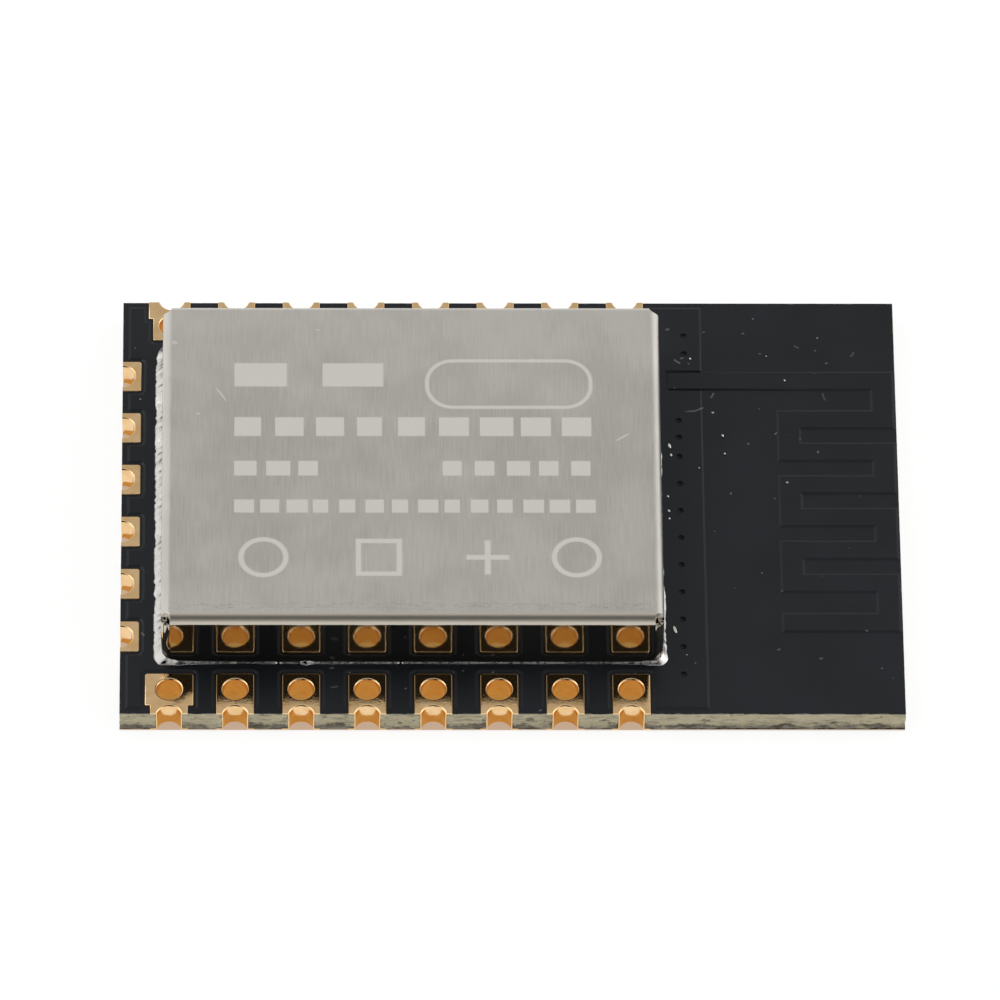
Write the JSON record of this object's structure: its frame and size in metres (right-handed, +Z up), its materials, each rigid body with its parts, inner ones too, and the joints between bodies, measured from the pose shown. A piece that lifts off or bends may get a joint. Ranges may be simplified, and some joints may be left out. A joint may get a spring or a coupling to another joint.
{
  "type": "wifi module",
  "caption": "Castellated wireless circuit module with a folded metal shield can over its radio parts and a meander antenna at one end of the board.",
  "frame": {"origin": "middle of the board's underside, the face that is soldered down", "axes": "+X along the board towards the antenna end, +Y towards the back row of terminals, +Z up out of the shield can's lid"},
  "size_m": [0.0238, 0.0158, 0.003],
  "materials": {
    "laminate": "routed glass-fibre laminate, pale green-tan with a dusty edge",
    "copper": "etched copper foil under the mask",
    "mask": "matte black solder mask",
    "gold_plating": "gold flash over nickel, satin",
    "tin": "bright reflowed tin solder",
    "can_metal": "nickel-silver sheet, finely brushed along Y on the lid",
    "black_resin": "moulded black resin",
    "crystal_ceramic": "fired ceramic",
    "crystal_metal": "gold-flashed lid",
    "capacitor_ceramic": "tan fired ceramic",
    "inductor_ceramic": "white fired ceramic"
  },
  "bodies": {
    "root": {"woven_glass_core": "laminate", "copper_top": "copper", "copper_bottom": "copper", "antenna_trace": "copper", "ground_vias": "copper", "mask_top": "mask", "mask_bottom": "mask", "component_lands": "gold_plating", "shield_land": "tin", "shield_solder": "tin", "shield_can": "can_metal", "radio_chip_body": "black_resin", "radio_chip_contacts": "tin", "crystal_base": "crystal_ceramic", "crystal_lid": "crystal_metal", "capacitor_bodies": "capacitor_ceramic", "capacitor_end_caps": "tin", "resistor_bodies": "black_resin", "resistor_end_caps": "tin", "inductor_bodies": "inductor_ceramic", "inductor_end_caps": "tin", "terminal_01": "gold_plating", "terminal_02": "gold_plating", "terminal_03": "gold_plating", "terminal_04": "gold_plating", "terminal_05": "gold_plating", "terminal_06": "gold_plating", "terminal_07": "gold_plating", "terminal_08": "gold_plating", "terminal_09": "gold_plating", "terminal_10": "gold_plating", "terminal_11": "gold_plating", "terminal_12": "gold_plating", "terminal_13": "gold_plating", "terminal_14": "gold_plating", "terminal_15": "gold_plating", "terminal_16": "gold_plating", "terminal_17": "gold_plating", "terminal_18": "gold_plating", "terminal_19": "gold_plating", "terminal_20": "gold_plating", "terminal_21": "gold_plating", "terminal_22": "gold_plating"}
  },
  "joints": []
}
